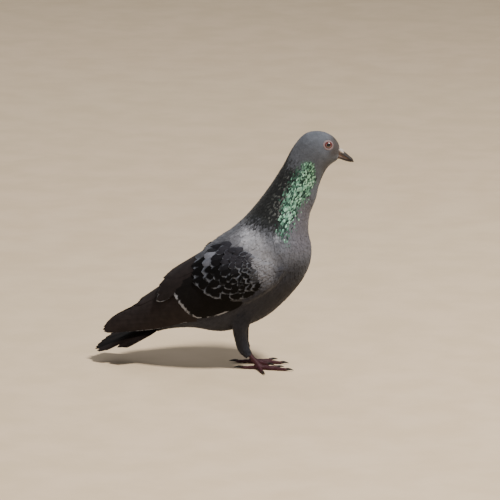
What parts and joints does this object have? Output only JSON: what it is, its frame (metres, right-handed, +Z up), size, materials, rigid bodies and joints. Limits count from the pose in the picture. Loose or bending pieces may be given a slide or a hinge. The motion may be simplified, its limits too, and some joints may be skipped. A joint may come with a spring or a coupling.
{
  "type": "feral rock pigeon",
  "caption": "Life-size feral rock pigeon standing alert on both feet, wings folded, head up; a still model for display.",
  "frame": {"origin": "on the floor, under the middle of the bird's box", "axes": "+X the way the bird faces, +Y its left, +Z up"},
  "size_m": [0.2596, 0.091, 0.2422],
  "materials": {
    "head_plumage": "matte slate-grey feathers",
    "neck_plumage": "dark feathers with a green and violet gloss",
    "body_plumage": "matte grey feathers",
    "wing_covert_plumage": "black and pale grey checkered feathers",
    "flight_feathers": "smooth grey-brown vanes",
    "tail_feathers": "dark smooth vanes",
    "bill_horn": "satin dark horn",
    "cere": "chalky white skin",
    "eye": "wet orange-red iris",
    "leg_skin": "dark red scaled skin",
    "claw": "satin black horn"
  },
  "bodies": {
    "root": {"head": "head_plumage", "neck": "neck_plumage", "trunk": "body_plumage", "thigh_right": "body_plumage", "thigh_left": "body_plumage", "wing_right_coverts": "wing_covert_plumage", "wing_left_coverts": "wing_covert_plumage", "wing_right_secondaries": "flight_feathers", "wing_left_secondaries": "flight_feathers", "wing_right_primaries": "flight_feathers", "wing_left_primaries": "flight_feathers", "tail": "tail_feathers", "bill_upper": "bill_horn", "bill_lower": "bill_horn", "cere": "cere", "eye_right": "eye", "eye_left": "eye", "tarsus_right": "leg_skin", "foot_pad_right": "leg_skin", "tarsus_left": "leg_skin", "foot_pad_left": "leg_skin", "toe_right_1": "leg_skin", "toe_right_2": "leg_skin", "toe_right_3": "leg_skin", "toe_right_4": "leg_skin", "toe_left_1": "leg_skin", "toe_left_2": "leg_skin", "toe_left_3": "leg_skin", "toe_left_4": "leg_skin", "claw_right_1": "claw", "claw_right_2": "claw", "claw_right_3": "claw", "claw_right_4": "claw", "claw_left_1": "claw", "claw_left_2": "claw", "claw_left_3": "claw", "claw_left_4": "claw"}
  },
  "joints": []
}
